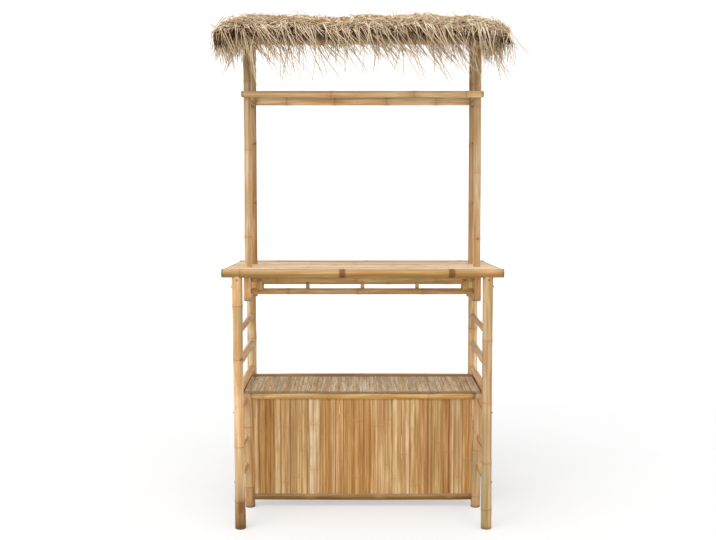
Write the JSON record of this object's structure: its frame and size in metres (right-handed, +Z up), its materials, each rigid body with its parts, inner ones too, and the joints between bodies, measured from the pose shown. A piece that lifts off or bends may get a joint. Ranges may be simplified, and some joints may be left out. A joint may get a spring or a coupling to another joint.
{
  "type": "tiki bar hut",
  "caption": "Free-standing bamboo bar counter with a slatted front panel, a reed shelf behind it and a small thatched lean-to roof on four thin posts.",
  "frame": {"origin": "on the floor under the middle of the counter", "axes": "+Z up, +X along the counter to the customer's right, customers stand at -Y"},
  "size_m": [1.202, 0.6024, 1.9831],
  "materials": {
    "bamboo": "lacquered bamboo cane",
    "planks": "flattened bamboo, satin",
    "strips": "split bamboo, satin",
    "reed": "dry reed, matte",
    "thatch": "dry palm and grass strands, matte"
  },
  "bodies": {
    "root": {"counter_pole_front": "bamboo", "counter_pole_rear": "bamboo", "counter_plank_1": "planks", "counter_plank_2": "planks", "counter_plank_3": "planks", "counter_plank_4": "planks", "counter_plank_5": "planks", "leg_front_left": "bamboo", "leg_rear_left": "bamboo", "side_top_rail_left": "bamboo", "side_rung_1_left": "bamboo", "side_rung_2_left": "bamboo", "side_rung_3_left": "bamboo", "side_rung_4_left": "bamboo", "side_bottom_rail_left": "bamboo", "shelf_side_rail_left": "bamboo", "leg_front_right": "bamboo", "leg_rear_right": "bamboo", "side_top_rail_right": "bamboo", "side_rung_1_right": "bamboo", "side_rung_2_right": "bamboo", "side_rung_3_right": "bamboo", "side_rung_4_right": "bamboo", "side_bottom_rail_right": "bamboo", "shelf_side_rail_right": "bamboo", "panel_post_left": "bamboo", "panel_post_right": "bamboo", "panel_top_rail": "bamboo", "panel_bottom_rail": "bamboo", "panel_strips": "strips", "shelf_rear_rail": "bamboo", "shelf_reed_mat": "reed", "post_socket_front_left": "bamboo", "post_socket_front_right": "bamboo", "post_socket_rear_left": "bamboo", "post_socket_rear_right": "bamboo", "apron_upper_rail": "bamboo", "apron_lower_rail": "bamboo", "apron_rear_rail": "bamboo", "apron_spindle_1": "bamboo", "apron_spindle_2": "bamboo", "apron_spindle_3": "bamboo", "apron_block_left": "bamboo", "apron_block_right": "bamboo", "roof_beam_left": "bamboo", "roof_beam_right": "bamboo", "cross_bar_front": "bamboo", "roof_post_front_left": "bamboo", "roof_post_front_right": "bamboo", "cross_bar_rear": "bamboo", "roof_post_rear_left": "bamboo", "roof_post_rear_right": "bamboo", "roof_tie_left": "bamboo", "roof_tie_right": "bamboo", "roof_batten_1": "bamboo", "roof_batten_2": "bamboo", "roof_batten_3": "bamboo", "thatch_course_front": "thatch", "thatch_course_middle": "thatch", "thatch_course_rear": "thatch"}
  },
  "joints": []
}
